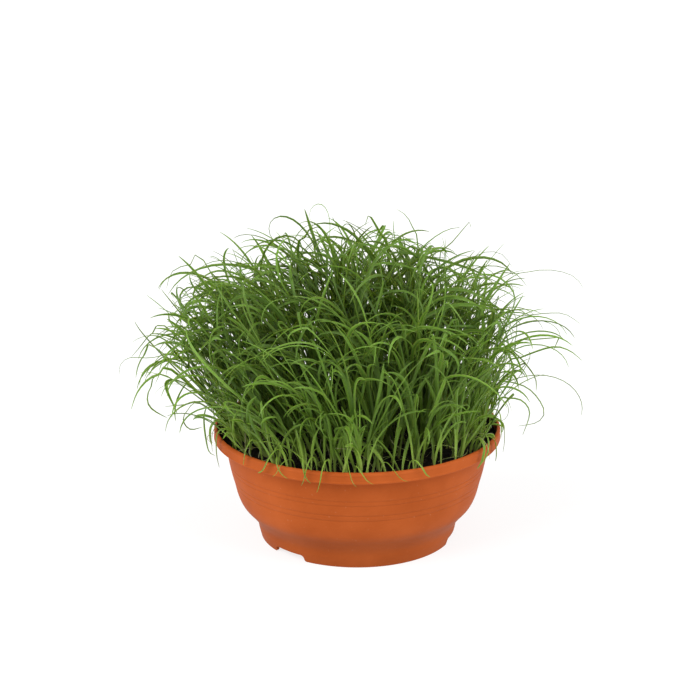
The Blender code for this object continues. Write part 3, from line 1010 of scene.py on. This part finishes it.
class LeafBatch:
    """Collects the leaves of one tuft and makes one mesh of them."""

    def __init__(self):
        self.points = []
        self.faces = []
        self.values = {"along": [], "tint": [], "dry": [], "inner": []}
        self.count = 0

    def add(self, line, width, tint, twist=0.0, start=0.0, dry=0.0, sheath=0.0):
        """A leaf folded along its middle: two edges, the keel under the fold and the fold's upper line.

        start is how far up its shoot the leaf begins, and sheath above 0 makes its foot a folded stem.
        """
        share = LEAF_SHARES
        tangent = np.gradient(line, axis=0)
        tangent /= np.linalg.norm(tangent, axis=1)[:, None]
        across = np.array([-tangent[0][1], tangent[0][0], LEAST_RISE])
        frames = []
        for direction in tangent:
            across = across - direction * (across @ direction)
            across /= np.linalg.norm(across)
            frames.append(across)
        across = np.array(frames)
        upper = np.cross(tangent, across)
        angle = (twist * share)[:, None]
        sideways = across * np.cos(angle) + upper * np.sin(angle)
        upward = upper * np.cos(angle) - across * np.sin(angle)
        closed = sheath * np.clip(1.0 - share / SHEATH_END, 0.0, 1.0)
        opening = FOOT_BREADTH + (1.0 - FOOT_BREADTH) * np.clip(share / FULL_BREADTH_FROM, 0.0, 1.0)
        taper = np.clip((1.0 - share) / (1.0 - TAPER_FROM), 0.0, 1.0) ** TAPER_POWER
        breadth = np.maximum(width * opening * taper, HAIR_WIDTH)[:, None]
        fold = (LEAF_FOLD + SHEATH_FOLD * closed)[:, None]
        thick = np.minimum(LEAF_THICKNESS + SHEATH_THICKNESS * closed[:, None], breadth / 2)
        wing = breadth / 2 * np.cos(fold) * sideways
        lift = breadth / 2 * np.sin(fold) * upward
        keel = line - KEEL_SHARE * thick * upward
        corners = [line + wing + lift, keel, line - wing + lift, keel + thick * upward]
        ring = np.stack(corners, axis=1)[:-1]
        self.points += [ring.reshape(-1, 3), line[-1:]]
        self.faces += leaf_faces(self.count, len(ring))
        self.count += RING_CORNERS * len(ring) + 1
        length = np.linalg.norm(np.diff(line, axis=0), axis=1).sum()
        height = np.minimum((start + share * length) / FULL_GREEN_LENGTH, 1.0)
        # How much painted shade a point gets, more the deeper it lies in the plant
        inner = np.clip(1.0 - outness(line) / INNER_START, 0.0, 1.0)
        for label, values in {"along": height, "tint": tint, "dry": dry, "inner": inner}.items():
            values = np.broadcast_to(values, len(line))
            self.values[label] += [np.repeat(values[:-1], RING_CORNERS), values[-1:]]

    def to_object(self, name, material):
        mesh = bpy.data.meshes.new(name)
        mesh.from_pydata(np.concatenate(self.points).tolist(), [], self.faces)
        for label, values in self.values.items():
            set_values(mesh, label, np.concatenate(values))
        return finished(name, mesh, material, LEAF_SHARP_ANGLE)


def leaf_faces(first, rings):
    """Faces of a closed leaf of four-cornered rings that ends in one point."""
    faces = [tuple(range(first, first + RING_CORNERS))]
    tip = first + RING_CORNERS * rings
    for ring in range(first, tip, RING_CORNERS):
        above = ring + RING_CORNERS
        for corner in range(RING_CORNERS):
            following = (corner + 1) % RING_CORNERS
            upper = (tip,) if above == tip else (above + corner, above + following)
            faces.append((ring + corner, *upper, ring + following))
    return faces


def turned_towards(ahead, heading, angle):
    """The direction ahead tipped by angle towards a heading on the ground, and the direction square to it."""
    aside = np.array(round_axis(1.0, heading))
    aside -= ahead * (aside @ ahead)
    aside /= np.linalg.norm(aside)
    tipped = ahead * cos(angle) + aside * sin(angle)
    return tipped, aside * cos(angle) - ahead * sin(angle)


def grow_side_leaf(rng, line, total, thread):
    """Draws a leaf that parts from the shoot until one fits, and gives it with its start, or None."""
    outward = line[len(line) // 2] - line[0]
    room = draw_low(rng, *LEAF_ROOM, LEAF_ROOM_POWER)
    lengths = THREAD_LENGTHS if thread else LEAF_LENGTHS
    for _ in range(LEAF_TRIES):
        start = rng.uniform(*LEAF_STARTS)
        step = int(start * (len(line) - 1))
        ahead = line[step + 1] - line[step]
        ahead = ahead / np.linalg.norm(ahead)
        heading = atan2(outward[1], outward[0]) + rng.normal(0, LEAF_HEADING_SPREAD)
        ahead, aside = turned_towards(ahead, heading, (1.0 - start) * rng.uniform(*LEAF_PARTING))
        bends = LOOP_BENDS if rng.random() < LOOP_SHARE else THREAD_BENDS if thread else LEAF_BENDS
        leaf = side_leaf(
            line[step],
            ahead,
            aside,
            length=total * (1.0 - LEAF_START_LOSS * start) * rng.uniform(*lengths),
            bend=draw_low(rng, *bends, LEAF_BEND_POWER),
            late=rng.uniform(*LEAF_LATENESS),
            sweep=rng.normal(0, LEAF_SWEEP),
            kink_at=rng.uniform(*KINK_PLACES),
            kink=rng.uniform(*KINKS) if rng.random() < KINK_SHARE else 0.0,
        )
        if fits(leaf, room):
            return leaf, start * total
    return None


def gathered(line, middle):
    """The line with its foot drawn in towards the middle of its tuft and down into the soil."""
    line = np.array(line)
    height = np.clip((line[:, 2] - line[0, 2]) / GATHER_HEIGHT, 0.0, 1.0)
    pull = np.array([middle.x - line[0, 0], middle.y - line[0, 1], 0.0])
    line += GATHER * np.outer((1.0 - height)**2, pull)
    foot = line[0] - (line[1] - line[0]) / 2
    foot[2] = SOIL_TOP - ROOT_DEPTH
    return np.vstack([foot, line])


def add_shoot(rng, batch, line, leaves):
    """A shoot: its own leaf along the line, sheathed at its foot, and side leaves that part from it."""
    line = np.array(line)
    total = np.linalg.norm(np.diff(line, axis=0), axis=1).sum()
    shade = rng.uniform(*LEAF_TINTS)
    width = rng.uniform(*LEAF_WIDTHS)
    batch.add(spread_points(line), width, shade, rng.normal(0, LEAF_TWIST), sheath=1.0)
    for _ in range(leaves):
        thread = rng.random() < THREAD_SHARE
        grown = grow_side_leaf(rng, line, total, thread)
        if grown:
            leaf, start = grown
            tint = min(max(shade + rng.normal(0, SIDE_LEAF_TINT_SPREAD), 0.0), 1.0)
            breadth = rng.uniform(*THREAD_WIDTHS) if thread else width * rng.uniform(*SIDE_LEAF_WIDTHS)
            batch.add(leaf, breadth, tint, rng.normal(0, SIDE_LEAF_TWIST), start)


def add_extra_shoot(rng, batch, site):
    """A lesser shoot beside the tuft's main ones."""
    for _ in range(LEAF_TRIES):
        side = Vector(round_axis(1.0, rng.uniform(0, tau)))
        root = site + EXTRA_SPREAD * sqrt(rng.uniform(*EXTRA_PLACES)) * side
        if hypot(root.x, root.y) > EXTRA_REACH:
            continue
        line = random_blade(rng.uniform, rng.normal, root, side, EXTRA_LENGTHS)
        if fits(spread_points(line), draw_low(rng, *LEAF_ROOM, LEAF_ROOM_POWER)):
            add_shoot(rng, batch, line, EXTRA_LEAVES)
            return


def young_place(rng, site):
    """A place low beside the tuft for a young shoot."""
    while True:
        angle = rng.uniform(0, tau)
        reach = EXTRA_SPREAD * sqrt(rng.random())
        place = site + reach * Vector(round_axis(1.0, angle))
        if hypot(place.x, place.y) < EXTRA_REACH:
            return place


def add_young_shoot(rng, batch, root):
    """A short bright shoot with its leaves spread like a fork."""
    for _ in range(LEAF_TRIES):
        line = blade_line(
            root,
            heading=atan2(root.y, root.x) + rng.normal(0, YOUNG_HEADING_SPREAD),
            lean=abs(rng.normal(0, YOUNG_LEAN)),
            length=rng.uniform(*YOUNG_LENGTHS),
            bend=rng.uniform(*YOUNG_BENDS),
            late=rng.uniform(*YOUNG_LATENESS),
            sweep=rng.normal(0, SWEEP_SPREAD),
        )
        if fits(spread_points(line)):
            add_shoot(rng, batch, line, YOUNG_LEAVES)
            return


def add_dead_curl(rng, batch, site):
    """A dry thread of an old leaf that lies curled just over the soil."""
    for _ in range(LEAF_TRIES):
        angle = rng.uniform(0, tau)
        reach = EXTRA_SPREAD * sqrt(rng.random())
        root = np.array(round_axis(reach, angle, CURL_HEIGHT)) + (site.x, site.y, SOIL_TOP)
        upright = np.array([0.0, 0.0, 1.0])
        ahead, aside = turned_towards(upright, rng.uniform(0, tau), rng.uniform(*CURL_TIPPING))
        curl = side_leaf(
            root,
            ahead,
            aside,
            length=rng.uniform(*CURL_LENGTHS),
            bend=rng.uniform(*CURL_BENDS),
            late=rng.uniform(*CURL_LATENESS),
            sweep=rng.normal(0, CURL_SWEEP),
        )
        if fits(curl):
            batch.add(curl, rng.uniform(*CURL_WIDTHS), rng.random(), dry=rng.uniform(*CURL_DRYNESS))
            return


def reaching_line(root, tip_depth, places):
    """A smooth line from the root through the places, in mm, while the depth changes evenly to the tip's."""
    x, height = np.vstack([(root[0], 1000 * (SOIL_TOP - ROOT_DEPTH)), places]).T
    depth = np.linspace(root[1], tip_depth, len(x))
    return spread_points(smooth_through(np.stack([x, depth, height], axis=1) / 1000, LINE_PARTS))


def hanging_line(angle, rise, fall, wander):
    """A leaf that rises from the edge of the soil, bows over the rim and hangs before the pot's wall."""
    profile = [(RIM_RADIUS + HANGER_ROOT, SOIL_TOP - ROOT_DEPTH)]
    for past_rim, share in HANGER_STEPS:
        profile.append((RIM_RADIUS + past_rim, POT_HEIGHT + share * (rise if share > 0 else fall)))
    curve = np.array(smooth_through(profile, LINE_PARTS))
    turn = angle + wander * np.linspace(0.0, 1.0, len(curve))**2
    radius, height = curve.T
    return spread_points(np.stack([radius * np.cos(turn), radius * np.sin(turn), height], axis=1))


def single_leaves(rng):
    """The lines and widths of all the leaves that reach out of the plant or hang over the rim."""
    leaves = [(reaching_line(*route), width / 1000) for width, *route in REACHING_LEAVES]
    for angle, rise, fall, wander, width in FRONT_HANGERS:
        line = hanging_line(radians(angle), rise / 1000, fall / 1000, radians(wander))
        leaves.append((line, width / 1000))
    for _ in range(MORE_HANGERS):
        line = hanging_line(
            rng.uniform(*HANGER_SECTOR),
            rng.uniform(*HANGER_RISES),
            rng.uniform(*HANGER_FALLS),
            rng.normal(0, HANGER_WANDER),
        )
        leaves.append((line, rng.uniform(*HANGER_WIDTHS)))
    return leaves


def rim_places(rng):
    """Places all round the edge of the soil for young shoots."""
    angles = rng.uniform(0, tau, RIM_SHOOTS)
    radii = rng.uniform(*RIM_SHOOT_PLACES, RIM_SHOOTS)
    return [Vector(round_axis(radius, angle, SOIL_TOP)) for radius, angle in zip(radii, angles)]


def make_tufts(material):
    """The leaves of each tuft as one piece, with the single leaves that are rooted nearest to it."""
    rng = np.random.default_rng(LEAF_SEED)
    tufts = grow_tufts()
    sites = tree_of([site for site, _ in tufts])
    young = [[] for _ in tufts]
    for place in rim_places(rng):
        young[sites.find(place)[1]].append(place)
    batches = [LeafBatch() for _ in tufts]
    single_rng = np.random.default_rng(SINGLE_SEED)
    for line, width in single_leaves(single_rng):
        nearest = sites.find(Vector((line[0][0], line[0][1], SOIL_TOP)))[1]
        tint = single_rng.uniform(*SINGLE_TINTS)
        batches[nearest].add(line, width, tint, single_rng.normal(0, SINGLE_TWIST), sheath=SINGLE_SHEATH)
    for index, (site, lines) in enumerate(tufts):
        batch = batches[index]
        for line in lines:
            add_shoot(rng, batch, gathered(line, site), MAIN_LEAVES)
        for _ in range(round(EXTRA_SHOOTS - EXTRA_FRONT * site.y / BED_RADIUS)):
            add_extra_shoot(rng, batch, site)
        for place in young[index] + [young_place(rng, site) for _ in range(YOUNG_SHOOTS)]:
            add_young_shoot(rng, batch, place)
        for _ in range(DEAD_CURLS):
            add_dead_curl(rng, batch, site)
        name = f"tuft_{index + 1:02d}"
        dress(batch.to_object(name + "_leaves", material), name)


make_camera()
make_light()
make_floor()
make_pot(terracotta_material())
make_soil(soil_material())
make_tufts(leaf_material())
